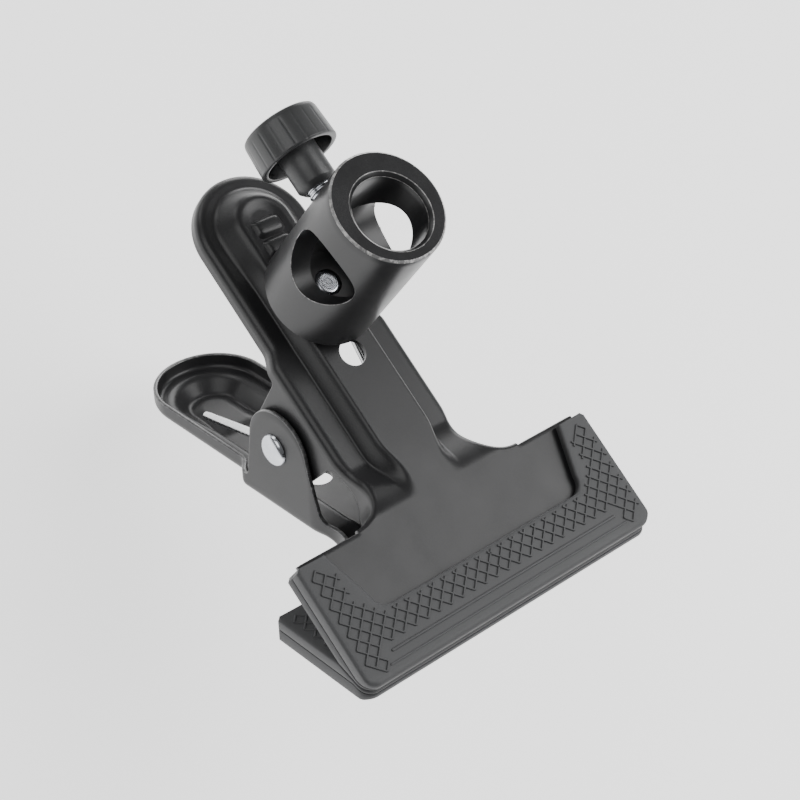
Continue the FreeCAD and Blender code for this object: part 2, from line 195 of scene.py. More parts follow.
def rounded_rim(obj, rise):
    """Swap the flat cut edge of a sheet, which is in material slot 1, for a rounded one."""
    mesh = obj.data
    verts = [v.co.copy() for v in mesh.vertices]
    rim, faces = [], []
    for p in mesh.polygons:
        if p.material_index == 1 and len(p.vertices) == 4:
            rim.append(p)
        else:
            faces.append((tuple(p.vertices), p.material_index))
    across = {}
    for p in rim:
        for key in p.edge_keys:
            across.setdefault(key, []).append(p.normal)
    chains = {}
    for (a, b), normals in across.items():
        if len(normals) == 2:
            out = (normals[0] + normals[1]).normalized() * rise * MM
            inner = []
            for t, part in RIM_PROFILE:
                inner.append(len(verts))
                verts.append(verts[a].lerp(verts[b], t) + out * part)
            chains[(a, b)] = [a, *inner, b]
            chains[(b, a)] = [b, *reversed(inner), a]
    for p in rim:
        v = list(p.vertices)
        if (v[0], v[1]) not in chains:
            v = v[1:] + v[:1]
        one, two = chains.get((v[0], v[1])), chains.get((v[3], v[2]))
        if one is None or two is None:
            faces.append((tuple(v), 1))
            continue
        for i in range(len(one) - 1):
            faces.append(((one[i], one[i + 1], two[i + 1], two[i]), 1))
    fresh = bpy.data.meshes.new(mesh.name)
    fresh.from_pydata([tuple(v) for v in verts], [], [f for f, _ in faces])
    fresh.materials.append(None)
    fresh.materials.append(None)
    fresh.polygons.foreach_set("material_index", [m for _, m in faces])
    obj.data = fresh


def smooth(obj, angle):
    """Shade smooth, with sharp edges where faces meet at more than the angle."""
    obj.data.shade_smooth()
    obj.data.set_sharp_from_angle(angle=math.radians(angle))


def join(name, objects):
    """One object out of several."""
    verts, faces, finishes = [], [], []
    for o in objects:
        first = len(verts)
        verts += [tuple(v.co) for v in o.data.vertices]
        faces += [tuple(first + i for i in p.vertices) for p in o.data.polygons]
        finishes += [p.material_index for p in o.data.polygons]
        bpy.data.objects.remove(o)
    mesh = bpy.data.meshes.new(name)
    mesh.from_pydata(verts, [], faces)
    if any(finishes):
        mesh.materials.append(None)
        mesh.materials.append(None)
        mesh.polygons.foreach_set("material_index", finishes)
    obj = bpy.data.objects.new(name, mesh)
    bpy.context.scene.collection.objects.link(obj)
    return obj


def mirror_to_lower(obj):
    """Reflect a mesh about the plane where the jaws meet."""
    co = np.array([v.co for v in obj.data.vertices], float)
    away = (co - PIVOT * MM) @ MIRROR_NORMAL
    co = co - 2 * away[:, None] * MIRROR_NORMAL
    obj.data.vertices.foreach_set("co", co.ravel())
    obj.data.flip_normals()
    obj.data.update()


def lathe(name, profile, axis, centre, segments=96, shape=None):
    """Turn a profile of (distance along, radius) about an axis through centre."""
    along = np.array(axis, float)
    side = unit(np.cross(along, (0.31, 0.52, 0.79)))
    other = np.cross(along, side)
    turn = np.linspace(0, 2 * math.pi, segments, endpoint=False)
    spokes = np.cos(turn)[:, None] * side + np.sin(turn)[:, None] * other
    verts = []
    for a, r in profile:
        radius = np.full(segments, float(r))
        if shape is not None:
            radius = shape(a, radius, turn)
        ring = np.array(centre) + a * along
        verts.append(ring + radius[:, None] * spokes)
    return new_object(name, np.concatenate(verts), grid_faces(len(profile), segments, wrap=True))


# ---- materials ------------------------------------------------------------
def finish_material(name, dark, light, rough, grain, relief, metallic=0.0, mottle=9.0, worn=None,
                    scratches=0.0, specular=0.5):
    """Procedural finish: two shades mixed by a slow mottle and a fine grain, roughness that varies
    with them, relief, and where it is worn small paler patches.  Lengths are millimetres."""
    mat = bpy.data.materials.new(name)
    mat.use_nodes = True
    tree = mat.node_tree
    nodes, links = tree.nodes, tree.links
    bsdf = nodes["Principled BSDF"]
    bsdf.inputs["Metallic"].default_value = metallic
    bsdf.inputs["Specular IOR Level"].default_value = specular
    place = nodes.new("ShaderNodeTexCoord")

    def noise(size, detail, sharpness=0.55):
        n = nodes.new("ShaderNodeTexNoise")
        n.inputs["Scale"].default_value = 1000.0 / size
        n.inputs["Detail"].default_value = detail
        n.inputs["Roughness"].default_value = sharpness
        links.new(place.outputs["Object"], n.inputs["Vector"])
        return n

    def ramp(source, low, high):
        r = nodes.new("ShaderNodeMapRange")
        r.inputs["From Min"].default_value = low
        r.inputs["From Max"].default_value = high
        links.new(source, r.inputs["Value"])
        return r.outputs["Result"]

    def blend(fac, a, b):
        # sockets 6 and 7 and output 2 are the Mix node's colours
        m = nodes.new("ShaderNodeMix")
        m.data_type = "RGBA"
        links.new(fac, m.inputs["Factor"])
        for value, socket in ((a, m.inputs[6]), (b, m.inputs[7])):
            if isinstance(value, tuple):
                socket.default_value = (*value, 1.0)
            else:
                links.new(value, socket)
        return m.outputs[2]

    def arithmetic(kind, a, b):
        m = nodes.new("ShaderNodeMath")
        m.operation = kind
        for value, socket in ((a, m.inputs[0]), (b, m.inputs[1])):
            if isinstance(value, float):
                socket.default_value = value
            else:
                links.new(value, socket)
        return m.outputs[0]

    slow = noise(mottle, 4.0)
    fine = noise(grain, 3.0, 0.7)
    mottled = ramp(slow.outputs["Fac"], 0.3, 0.7)
    grained = ramp(fine.outputs["Fac"], 0.2, 0.75)
    colour = blend(arithmetic("MULTIPLY", mottled, grained), dark, light)
    spread = arithmetic("MULTIPLY", ramp(slow.outputs["Fac"], 0.25, 0.75), rough[1] - rough[0])
    roughness = arithmetic("ADD", spread, rough[0])
    if scratches:
        lines = nodes.new("ShaderNodeTexNoise")
        stretch = nodes.new("ShaderNodeMapping")
        stretch.inputs["Scale"].default_value = (180.0, 2200.0, 1500.0)
        stretch.inputs["Rotation"].default_value = (0.2, 0.1, 0.5)
        lines.inputs["Scale"].default_value = 1.0
        lines.inputs["Detail"].default_value = 2.0
        links.new(place.outputs["Object"], stretch.inputs["Vector"])
        links.new(stretch.outputs["Vector"], lines.inputs["Vector"])
        scratched = arithmetic("MULTIPLY", ramp(lines.outputs["Fac"], 0.6, 0.8), scratches)
        roughness = arithmetic("ADD", roughness, scratched)
    if worn is not None:
        patch = ramp(noise(1.1, 5.0, 0.65).outputs["Fac"], 0.46, 0.66)
        colour = blend(patch, colour, worn)
    links.new(colour, bsdf.inputs["Base Color"])
    links.new(roughness, bsdf.inputs["Roughness"])
    bump = nodes.new("ShaderNodeBump")
    bump.inputs["Strength"].default_value = 1.0
    bump.inputs["Distance"].default_value = relief * MM
    links.new(fine.outputs["Fac"], bump.inputs["Height"])
    links.new(bump.outputs["Normal"], bsdf.inputs["Normal"])
    return mat


COAT = finish_material(
    "black_powder_coat", dark=(0.018, 0.018, 0.019), light=(0.028, 0.028, 0.029),
    rough=(0.30, 0.40), grain=0.30, relief=0.008, specular=0.42)
# paler colour on the levers' rounded rims is a painted highlight along the edges, with small worn patches
# on top
COAT_EDGE_SHEEN_AND_WEAR = finish_material(
    "black_coat_edges_painted_highlight_and_wear", dark=(0.045, 0.045, 0.047), light=(0.08, 0.08, 0.082),
    rough=(0.24, 0.34), grain=0.4, relief=0.003, worn=(0.15, 0.15, 0.15), specular=0.9)
ANODISED = finish_material(
    "black_anodised", dark=(0.015, 0.015, 0.016), light=(0.026, 0.026, 0.027),
    rough=(0.28, 0.38), grain=0.16, relief=0.005, specular=0.48)
# pale grey on the receiver's chamfers is a painted highlight along the edges, with small worn patches that
# stand for real wear
ANODISED_EDGE_SHEEN_AND_WEAR = finish_material(
    "black_anodised_edges_painted_highlight_and_wear", dark=(0.14, 0.14, 0.14), light=(0.24, 0.24, 0.24),
    rough=(0.22, 0.32), grain=0.3, relief=0.003, worn=(0.55, 0.54, 0.53), specular=0.9)
TURNED = finish_material(
    "black_turned_face", dark=(0.010, 0.010, 0.011), light=(0.045, 0.045, 0.046),
    rough=(0.55, 0.70), grain=0.22, relief=0.012, specular=0.22)
PLASTIC = finish_material(
    "black_knob_plastic", dark=(0.034, 0.035, 0.036), light=(0.054, 0.055, 0.056),
    rough=(0.32, 0.42), grain=0.5, relief=0.003, scratches=0.12, specular=0.6)
RUBBER = finish_material(
    "grey_black_rubber", dark=(0.058, 0.059, 0.061), light=(0.080, 0.081, 0.083),
    rough=(0.48, 0.62), grain=0.22, relief=0.010, mottle=14.0, specular=0.4)
PLATED = finish_material(
    "zinc_plated_steel", dark=(0.62, 0.64, 0.68), light=(0.86, 0.88, 0.92),
    rough=(0.16, 0.28), grain=0.4, relief=0.002, metallic=1.0, mottle=2.5, scratches=0.12)
WIRE = finish_material(
    "bright_spring_wire", dark=(0.58, 0.59, 0.60), light=(0.84, 0.84, 0.84),
    rough=(0.20, 0.32), grain=0.3, relief=0.003, metallic=1.0, mottle=3.0, scratches=0.15)



def dress(obj, mats, body, nodes, angle=40):
    """Give a piece its finishes and material slot, smooth shading and body, and hide the CAD nodes that it
    stands for.

    The first finish is the faces' and the others, where the mesh has their slots, the edges'."""
    for i, mat in enumerate(mats):
        if i < len(obj.data.materials):
            obj.data.materials[i] = mat
        elif i == 0:
            obj.data.materials.append(mat)
    smooth(obj, angle)
    if body is not None:
        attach(obj, body)
    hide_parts(*nodes)


# ---- levers ---------------------------------------------------------------
FOLD = 2.0                     # outside radius of the fold between top and skirt
NECK_FOLD = 1.7                # the same at the neck
SOFT_TAIL = (2.0, 14.0)        # from tail_x: the rib's flank is soft before, firm after
DRAW_IN = 1.3                  # how much narrower the rib's foot is at the end of the valley
DRAW_IN_X = (32.0, 41.0)
RAMP_LAG = 0.6                 # the drawn ramp starts this much later than the CAD's
DISH_R = (2.5, 6.9)            # the thumb rest's hollow: full depth inside, none outside
DISH_END = (8.4, 12.4)
DISH_DEPTH = 0.95
EAR_START_X = 6.2
EAR_REAR_X = 9.7
EAR_FRONT_Z = -31.9
RIM_RISE = 0.22
BAR_HALF = (1.65, 3.1)
BAR_SQUARENESS = 0.42


def half_width(x, ear_y):
    """Outer half width of a lever, from the tail to the flare."""
    x = np.asarray(x, float)
    wide = TAIL_R + (ear_y - TAIL_R) * step((x - JOG_X[0]) / (JOG_X[1] - JOG_X[0]))
    return wide - NECK_IN * step((x - NECK_START_X) / (NECK_X - NECK_START_X))


def outside_height(lever, x, y):
    """Height of the sheet's outside: flats, rib, ramp into the jaw plate and thumb rest."""
    x, y = np.asarray(x, float), np.abs(np.asarray(y, float))
    tail_x, shoulder = lever["tail_x"], lever["shoulder"]
    r = np.hypot(np.minimum(x - tail_x, 0.0), y)
    # the rib's flank is softer round the tail and draws in a little where the valley ends
    tail = step((tail_x + SOFT_TAIL[1] - x) / (SOFT_TAIL[1] - SOFT_TAIL[0]))
    draw_in = DRAW_IN * step((x - DRAW_IN_X[0]) / (DRAW_IN_X[1] - DRAW_IN_X[0]))
    foot = RIB_FOOT + 0.9 * tail - draw_in
    crest = RIB_CREST - 1.1 * tail - 1.3 * draw_in
    flank = np.clip((foot - r) / (foot - crest), -0.5, 1.5)
    rib = 1.0 - soft_max(1.0 - soft_max(flank, 0.0, 0.16), 0.0, 0.34)
    ramp = step((x - RAMP_X[0] - RAMP_LAG) / (RAMP_X[1] - RAMP_X[0] - RAMP_LAG))
    level = 1.0 - (1.0 - rib) * (1.0 - ramp)
    dish = step((DISH_R[1] - r) / (DISH_R[1] - DISH_R[0]))
    dish = dish * step((tail_x + DISH_END[1] - x) / (DISH_END[1] - DISH_END[0]))
    return shoulder + (CREST_Z - shoulder) * level - DISH_DEPTH * dish


def ear_outline(lever, start_x, end_x):
    """Free edge of the skirt round one ear, from its rear to its front."""
    cx, cz = lever["nose"]
    r = lever["nose_r"]
    turn = np.radians(np.linspace(188, 352, 60))
    nose = np.column_stack([cx + r * np.cos(turn), cz + r * np.sin(turn)])
    rear = soften([(start_x, lever["skirt"]), (EAR_REAR_X, lever["skirt"]), nose[0]], 1.6)
    front_x = lever["front_x"]
    front = soften([nose[-1], (front_x, EAR_FRONT_Z), (front_x + 1.5, FLANGE_Z), (end_x, FLANGE_Z)], 0.9)
    return np.concatenate([rear, nose[1:-1], front])


def lever_half(lever):
    """Grid of the +Y half and its deck rows, in columns from tail to flare.

    Each column runs from the middle plane over the fold to the free edge."""
    ear_y, tail_x, skirt = lever["ear_y"], lever["tail_x"], lever["skirt"]
    columns = []

    def add(edge, normal, fold, bottom, centre_x=None):
        q = edge - fold * normal
        columns.append((edge, normal, fold, bottom, q[0] if centre_x is None else centre_x))

    def add_side(x, bottom):
        narrow = step((x - NECK_START_X) / (NECK_X - NECK_START_X))
        edge = np.array([x, float(half_width(x, ear_y))])
        add(edge, np.array([0.0, 1.0]), FOLD - (FOLD - NECK_FOLD) * narrow, bottom)

    for deg in np.linspace(180, 90, 34)[:-1]:
        n = np.array([math.cos(math.radians(deg)), math.sin(math.radians(deg))])
        e = np.array([tail_x, 0.0]) + TAIL_R * n
        add(e, n, FOLD, (e[0], e[1], skirt), tail_x)
    ear_end = lever["front_x"] + 2.6
    for x in np.linspace(tail_x, EAR_START_X, 56)[:-1]:
        add_side(x, (x, float(half_width(x, ear_y)), skirt))
    lows = spaced(ear_outline(lever, EAR_START_X, ear_end), 110)
    # beside the ear the columns stand upright, and over the ear their tops are spread evenly
    run = np.arange(len(lows))
    ear = run[lows[:, 1] < skirt - 0.5]
    over = (run >= ear[0]) & (run <= ear[-1])
    tops = np.where(over, np.interp(run, ear[[0, -1]], lows[ear[[0, -1]], 0]), lows[:, 0])
    for x, (bx, bz) in zip(tops[:-1], lows[:-1]):
        add_side(x, (bx, float(half_width(bx, ear_y)), bz))
    for x in np.linspace(ear_end, NECK_X, 14)[:-1]:
        add_side(x, (x, float(half_width(x, ear_y)), FLANGE_Z))
    flare_r = PLATE_X[0] - FLARE_END_FOLD - NECK_X
    flare_c = np.array([NECK_X, ear_y - NECK_IN + flare_r])
    for deg in np.linspace(-90, 0, 40):
        t = (deg + 90) / 90
        n = -np.array([math.cos(math.radians(deg)), math.sin(math.radians(deg))])
        e = flare_c - flare_r * n
        low = FLANGE_Z + (CREST_Z - SHEET - FLANGE_Z) * step((t - 0.35) / 0.65)
        add(e, n, NECK_FOLD - (NECK_FOLD - FLARE_END_FOLD) * step(t), (e[0], e[1], low))

    deck, turns, drop = 60, 6, 12
    grid = []
    for edge, normal, fold, bottom, centre_x in columns:
        q = edge - fold * normal
        middle = np.array([centre_x, 0.0])
        t = np.linspace(0, 1, deck)[:, None]
        flat = middle * (1 - t) + q * t
        column = list(np.column_stack([flat, outside_height(lever, flat[:, 0], flat[:, 1])]))
        top = column[-1][2]
        for k in range(1, turns + 1):
            a = math.radians(90 * k / turns)
            p = q + normal * fold * math.sin(a)
            column.append(np.array([p[0], p[1], top - fold * (1 - math.cos(a))]))
        start = column[-1]
        low = np.array(bottom, float)
        low[2] = min(low[2], start[2] - 0.1)
        for k in range(1, drop + 1):
            p = start + (low - start) * k / drop
            if tail_x < p[0] <= NECK_X and edge[0] > tail_x:
                p[1] = float(half_width(p[0], ear_y))
            column.append(p)
        grid.append(column)
    return np.array(grid), deck


def lever_sheet(name, lever):
    """The stamped sheet: both halves and the jaw plate, given thickness and a rounded rim."""
    grid, deck = lever_half(lever)
    columns, rows = grid.shape[:2]
    verts = list(grid.reshape(-1, 3))
    faces = grid_faces(columns, rows)
    # jaw plate, which starts at the last column's deck
    ys = list(grid[-1, :deck, 1]) + list(np.linspace(grid[-1, deck - 1, 1], PLATE_Y, 18)[1:])
    xs = np.linspace(PLATE_X[0], PLATE_X[1], 26)
    first = len(verts)
    for x in xs:
        z = outside_height(lever, np.full(len(ys), x), ys)
        verts += [np.array([x, y, h]) for y, h in zip(ys, z)]
    # the plate's rear edge takes exactly the deck's own points
    for j in range(deck):
        verts[first + j] = grid[-1, j].copy()
    faces += grid_faces(len(xs), len(ys), first)
    verts = np.array(verts)
    other = verts * np.array([1.0, -1.0, 1.0])
    count = len(verts)
    faces += [tuple(count + i for i in reversed(f)) for f in faces]
    obj = new_object(name, np.concatenate([verts, other]), faces, outward=False)
    up = sum(p.normal.z * p.area for p in obj.data.polygons)
    if up < 0:
        obj.data.flip_normals()
    m = obj.modifiers.new("sheet", "SOLIDIFY")
    m.thickness = SHEET * MM
    m.offset = -1.0
    m.use_rim = True
    m.material_offset_rim = 1
    obj.data.materials.append(None)
    obj.data.materials.append(None)
    bake(obj)
    rounded_rim(obj, RIM_RISE)
    clean(obj)
    x, r = RIB_HOLE
    drill = lathe("drill", [(-6, 0), (-6, r), (6, r), (6, 0)], (0, 0, 1), (x, 0, CREST_Z), 56)
    cut(obj, drill)
    return obj


def raised_bar(name, x):
    """Anti-slip bar pressed up from the thumb rest."""
    levels = [(-24.5, 0.75), (-24.05, 0.72), (-23.85, 0.55), (-23.6, 0.3), (-23.35, 0.08), (-23.15, -0.14),
              (-23.02, -0.4), (-22.95, -0.75), (-22.92, -1.3)]
    sides = 64
    turn = np.linspace(0, 2 * math.pi, sides, endpoint=False)
    c, s = np.cos(turn), np.sin(turn)
    round_c = np.sign(c) * np.abs(c) ** BAR_SQUARENESS
    round_s = np.sign(s) * np.abs(s) ** BAR_SQUARENESS
    verts = []
    for z, grow in levels:
        ring_x = x + (BAR_HALF[0] + grow) * round_c
        verts.append(np.column_stack([ring_x, (BAR_HALF[1] + grow) * round_s, np.full(sides, z)]))
    verts = np.concatenate(verts)
    faces = grid_faces(len(levels), sides, wrap=True)
    faces.append(tuple(range(sides)))
    faces.append(tuple(range(len(verts) - sides, len(verts))))
    return new_object(name, verts, faces)


def lever_piece(name, lever):
    pieces = [lever_sheet(name + "_sheet", lever)]
    pieces += [raised_bar(f"{name}_bar{i}", lever["tail_x"] + x) for i, x in enumerate(BAR_FROM_TAIL)]
    return join(name, pieces)


upper_lever = lever_piece("upper_lever_shell", UPPER)
# the rounded rims in slot 1 take the paler edge finish: painted highlight with some wear
dress(upper_lever, (COAT, COAT_EDGE_SHEEN_AND_WEAR), "upper", ["upper_lever"])
lower_lever = lever_piece("lower_lever_shell", LOWER)
mirror_to_lower(lower_lever)
dress(lower_lever, (COAT, COAT_EDGE_SHEEN_AND_WEAR), "lower", ["lower_lever"])

# ---- jaw pads -------------------------------------------------------------
PAD_X = (47.6, 75.5)
PAD_Y = 40.4
PAD_TOP = -21.0
PAD_SOLE = -26.5
PAD_GAP = 0.2
PAD_CORNER_R = 3.0
WINDOW_Y = (32.9, 29.2)        # half width of the pad's window at its rear and at its front
WINDOW_END_X = 58.9
WINDOW_CORNER_R = 3.5
WINDOW_FOOT_Z = -24.05
SEAM_Z = -24.1
HATCH = 1.6                    # half the diagonal of one crosshatch cell


def meeting_height(x):
    """Underside of the upper pad: flat, then along the plane where the pads meet."""
    slope = math.radians(MIRROR_DEG)
    plane = PIVOT[2] + PAD_GAP / 2 / math.cos(slope) + (np.asarray(x) - PIVOT[0]) * math.tan(slope)
    return np.maximum(PAD_SOLE, plane)


def u_outline(side_from, side_to, radius):
    """U-shaped line from the rear of the -Y side round the front: points and outward normals."""
    corner = (side_to[0], side_to[1] + radius)
    side_x = np.linspace(side_from[0], side_to[0], 34)
    half = [np.column_stack([side_x, np.linspace(side_from[1], side_to[1], 34)])]
    a = np.radians(np.linspace(-90, 0, 14))
    half.append(np.column_stack([corner[0] + radius * np.cos(a), corner[1] + radius * np.sin(a)])[1:])
    front_x = corner[0] + radius
    half.append(np.column_stack([np.full(30, front_x), np.linspace(corner[1], 0, 30)])[1:])
    half = np.concatenate(half)
    other = half[::-1][1:] * np.array([1.0, -1.0])
    line = np.concatenate([half, other])
    tangent = np.gradient(line, axis=0)
    tangent /= np.linalg.norm(tangent, axis=1)[:, None]
    return line, np.column_stack([tangent[:, 1], -tangent[:, 0]])


def jaw_pad(name):
    """Rubber shoe: sections along its U shape, each from the window round the outside and back."""
    outer, out_n = u_outline((PAD_X[0], -PAD_Y), (PAD_X[1] - PAD_CORNER_R, -PAD_Y), PAD_CORNER_R)
    inner, in_n = u_outline((PAD_X[0], -WINDOW_Y[0]), (WINDOW_END_X, -WINDOW_Y[1]), WINDOW_CORNER_R)
    sections = []
    for p, pn, q, qn in zip(outer, out_n, inner, in_n):
        to_front = step((pn[0] - 0.3) / 0.6)
        roll = 0.7 + 0.6 * to_front
        low = float(meeting_height(p[0]))
        seam = max(SEAM_Z, low + 0.85)
        ring = [(q + qn * 0.5, WINDOW_FOOT_Z), (q + qn * 0.5, -22.8), (q + qn * 0.12, -22.62),
                (q, -22.45), (q, -21.5), (q + qn * 0.08, -21.22), (q + qn * 0.25, -21.06)]
        a, b = q + qn * 0.5, p - pn * roll
        for t in np.linspace(0, 1, 12):
            ring.append((a + (b - a) * t, PAD_TOP))
        for deg in (18, 36, 54, 72, 90):
            s, c = math.sin(math.radians(deg)), math.cos(math.radians(deg))
            ring.append((p - pn * roll * (1 - s), PAD_TOP - roll * (1 - c)))
        ring += [(p, seam + 0.22), (p - pn * 0.06, seam + 0.12), (p - pn * 0.32, seam + 0.06),
                 (p - pn * 0.32, seam - 0.06), (p - pn * 0.06, seam - 0.12), (p, seam - 0.22),
                 (p, low + 0.35), (p - pn * 0.06, low + 0.16), (p - pn * 0.2, low + 0.05)]
        a, b = p - pn * 0.42, q + qn * 0.5
        for t in np.linspace(0, 1, 14):
            at = a + (b - a) * t
            ring.append((at, float(meeting_height(at[0]))))
        sections.append([np.array([at[0], at[1], z]) for at, z in ring])
    sections = np.array(sections)
    # the two rear corners are rounded a little
    near = np.clip(PAD_X[0] + 1.0 - sections[:, :, 0], 0, 1)
    limit = PAD_Y - 1.0 + np.sqrt(np.clip(1 - near ** 2, 0, 1))
    y = sections[:, :, 1]
    sections[:, :, 1] = np.sign(y) * np.minimum(np.abs(y), limit)
    count, size = sections.shape[:2]
    verts = sections.reshape(-1, 3)
    faces = grid_faces(count, size, wrap=False)
    last = (count - 1) * size
    faces.append(tuple(range(size)))
    faces.append(tuple(last + i for i in range(size)))
    faces.append(tuple(i * size for i in range(count)))
    faces.append(tuple(i * size + size - 1 for i in range(count)))
    faces.append((0, size - 1, last + size - 1, last))
    return new_object(name, verts, faces)


def hatch_cells(last_i):
    """Crosshatch cells of one corner: side rows, front rows and the filled field between them."""
    cells = set()
    for i in range(32, 46):
        for j in range(0, 24):
            if (i + j) % 2 == 0:
                continue
            side = (j == 23 and i <= 44) or (j == 22 and 33 <= i <= 45)
            front = i in (41, 42)
            field = i + j >= 59 and i <= 42
            if (side or front or field) and i <= last_i:
                cells.add((i, j))
    return cells


def hatch_lines(cells):
    """Ribs between the cells as straight lines, each family of diagonals joined end to end."""
    edges = {(1, 1): set(), (1, -1): set()}
    for i, j in cells:
        edges[(1, 1)] |= {(i - 1, j), (i, j - 1)}
        edges[(1, -1)] |= {(i - 1, j), (i, j + 1)}
    lines = []
    for (di, dj), starts in edges.items():
        for i, j in sorted(starts):
            if (i - di, j - dj) in starts:
                continue
            n = 1
            while (i + n * di, j + n * dj) in starts:
                n += 1
            lines.append((np.array([i, j], float), np.array([i + n * di, j + n * dj], float)))
    return lines


def rib_bar(a, b, base_z, height, up, half=0.24):
    """Low moulded rib with sloping flanks from a to b, standing on base_z."""
    along = unit(b - a)
    side = np.array([-along[1], along[0]])
    profile = [(-half - 0.07, -0.12), (-half, 0.35 * height), (-half * 0.55, height), (half * 0.55, height),
               (half, 0.35 * height), (half + 0.07, -0.12)]
    verts = []
    for p in (a, b):
        for s, h in profile:
            at = p + side * s
            verts.append((at[0], at[1], base_z + up * h))
    n = len(profile)
    faces = grid_faces(2, n)
    faces.append(tuple(range(n)))
    faces.append(tuple(range(n, 2 * n)))
    faces.append((0, n - 1, 2 * n - 1, n))
    return verts, faces


def hatch(name, base_z, up, last_i, height):
    """The moulded crosshatch of one pad face on both sides of the middle plane."""
    verts, faces = [], []
    for sign in (1, -1):
        for k, (a, b) in enumerate(hatch_lines(hatch_cells(last_i))):
            direction = unit(b - a)
            # ribs run on a little past the field, towards the window and over the +Y edge
            start, end = a.copy(), b.copy()
            for which, p in (("start", a), ("end", b)):
                inner_side = p[0] + p[1] <= 58.5 and 34 <= p[0] <= 40 and p[1] < 23
                row_end = p[1] <= 21.5 and p[0] < 37
                over = sign > 0 and p[1] >= 23.5 and p[0] > 33
                run = 0.55 if (inner_side or row_end or over) else 0.0
                run *= 0.8 + 0.4 * RNG.random()
                if which == "start":
                    start = start - direction * run
                else:
                    end = end + direction * run
            wobble = 0.012 * (1 if direction[1] > 0 else -1)
            shift = np.array([HATCH, HATCH * sign])
            v, f = rib_bar(start * shift, end * shift, base_z, height + wobble, up)
            first = len(verts)
            verts += v
            faces += [tuple(first + i for i in q) for q in f]
    return new_object(name, verts, faces)


def raised_line(name, x, half_length, width, height):
    """Long raised line with round ends along the front of a pad."""
    ends = np.linspace(-90, 90, 9)
    ring = [(x + width / 2 * math.sin(math.radians(a)), half_length + width / 2 * math.cos(math.radians(a)))
            for a in ends]
    ring += [(px, -py) for px, py in reversed(ring)]
    ring = np.array(ring)
    verts = []
    for inset, z in ((-0.08, PAD_TOP - 0.15), (0.0, PAD_TOP + 0.4 * height), (0.1, PAD_TOP + 0.9 * height),
                     (0.22, PAD_TOP + height)):
        beyond = np.clip(np.abs(ring[:, 1]) - half_length, 0, 1)
        inward = -np.column_stack([ring[:, 0] - x, np.sign(ring[:, 1]) * beyond]) / (width / 2)
        at = ring + inward * inset
        verts.append(np.column_stack([at, np.full(len(at), z)]))
    verts = np.concatenate(verts)
    n = len(ring)
    faces = grid_faces(4, n, wrap=True)
    faces.append(tuple(range(n)))
    faces.append(tuple(range(3 * n, 4 * n)))
    return new_object(name, verts, faces)


def pad_piece(name):
    """A pad with its crosshatch above and below and the two lines along its front."""
    return join(name, [
        jaw_pad(name + "_body"),
        hatch(name + "_hatch", PAD_TOP, up=1, last_i=45, height=0.3),
        hatch(name + "_grip", PAD_SOLE, up=-1, last_i=40, height=0.2),
        raised_line(name + "_line0", x=70.6, half_length=31.5, width=0.62, height=0.26),
        raised_line(name + "_line1", x=72.9, half_length=33.5, width=0.5, height=0.14),
    ])


upper_pad = pad_piece("upper_pad")
dress(upper_pad, (RUBBER,), "upper", ["upper_jaw_pad"])
lower_pad = pad_piece("lower_pad")
mirror_to_lower(lower_pad)
dress(lower_pad, (RUBBER,), "lower", ["lower_jaw_pad"])

# ---- receiver -------------------------------------------------------------
BORE = 8.2
RECEIVER_X = -1.2
RECEIVER_Z = (-21.0, 16.0)
RECEIVER_R = 12.5
FOOT_R = 8.0
SOCKET_FLOOR_Z = -16.2
TAP_R = 3.04                   # holes for the stud, in the receiver and in the knob's stem
SCREW_HOLE_R = 3.02
ON_SURFACE = 0.06              # how near a point of the cross bore's rim lies to both walls
RIM_CHAMFER_WIDTH = 0.14
LIP_Z = (0.98, 0.84, 0.13)     # below the top: foot and end of the inner edge, foot of the top chamfer
MOUTH_R = 9.4
ROUNDING_Z = 0.4


def dense(points, longest):
    """Profile with extra points, so that no part of it is longer than a given length."""
    out = [points[0]]
    for a, b in zip(points, points[1:]):
        n = max(1, int(math.ceil(math.hypot(b[0] - a[0], b[1] - a[1]) / longest)))
        out += [(a[0] + (b[0] - a[0]) * k / n, a[1] + (b[1] - a[1]) * k / n) for k in range(1, n + 1)]
    return out


def bore_rim_wear_and_highlight(body):
    """Small chamfer where the cross bore comes out of the receiver's wall, in the paler edge finish: wear
    with a painted highlight.
    """
    bm = bmesh.new()
    bm.from_mesh(body.data)
    rim = []
    for edge in bm.edges:
        ends = [v.co / MM for v in edge.verts]
        on_bore = all(abs(math.hypot(p.x, p.z) - BORE) < ON_SURFACE for p in ends)
        on_wall = all(abs(math.hypot(p.x - RECEIVER_X, p.y) - RECEIVER_R) < ON_SURFACE for p in ends)
        if on_bore and on_wall and len(edge.link_faces) == 2:
            rim.append(edge)
    bmesh.ops.bevel(bm, geom=rim, offset=RIM_CHAMFER_WIDTH * MM, offset_type="WIDTH", segments=1,
                    profile=0.5, affect="EDGES", clamp_overlap=False, material=1)
    bm.to_mesh(body.data)
    bm.free()


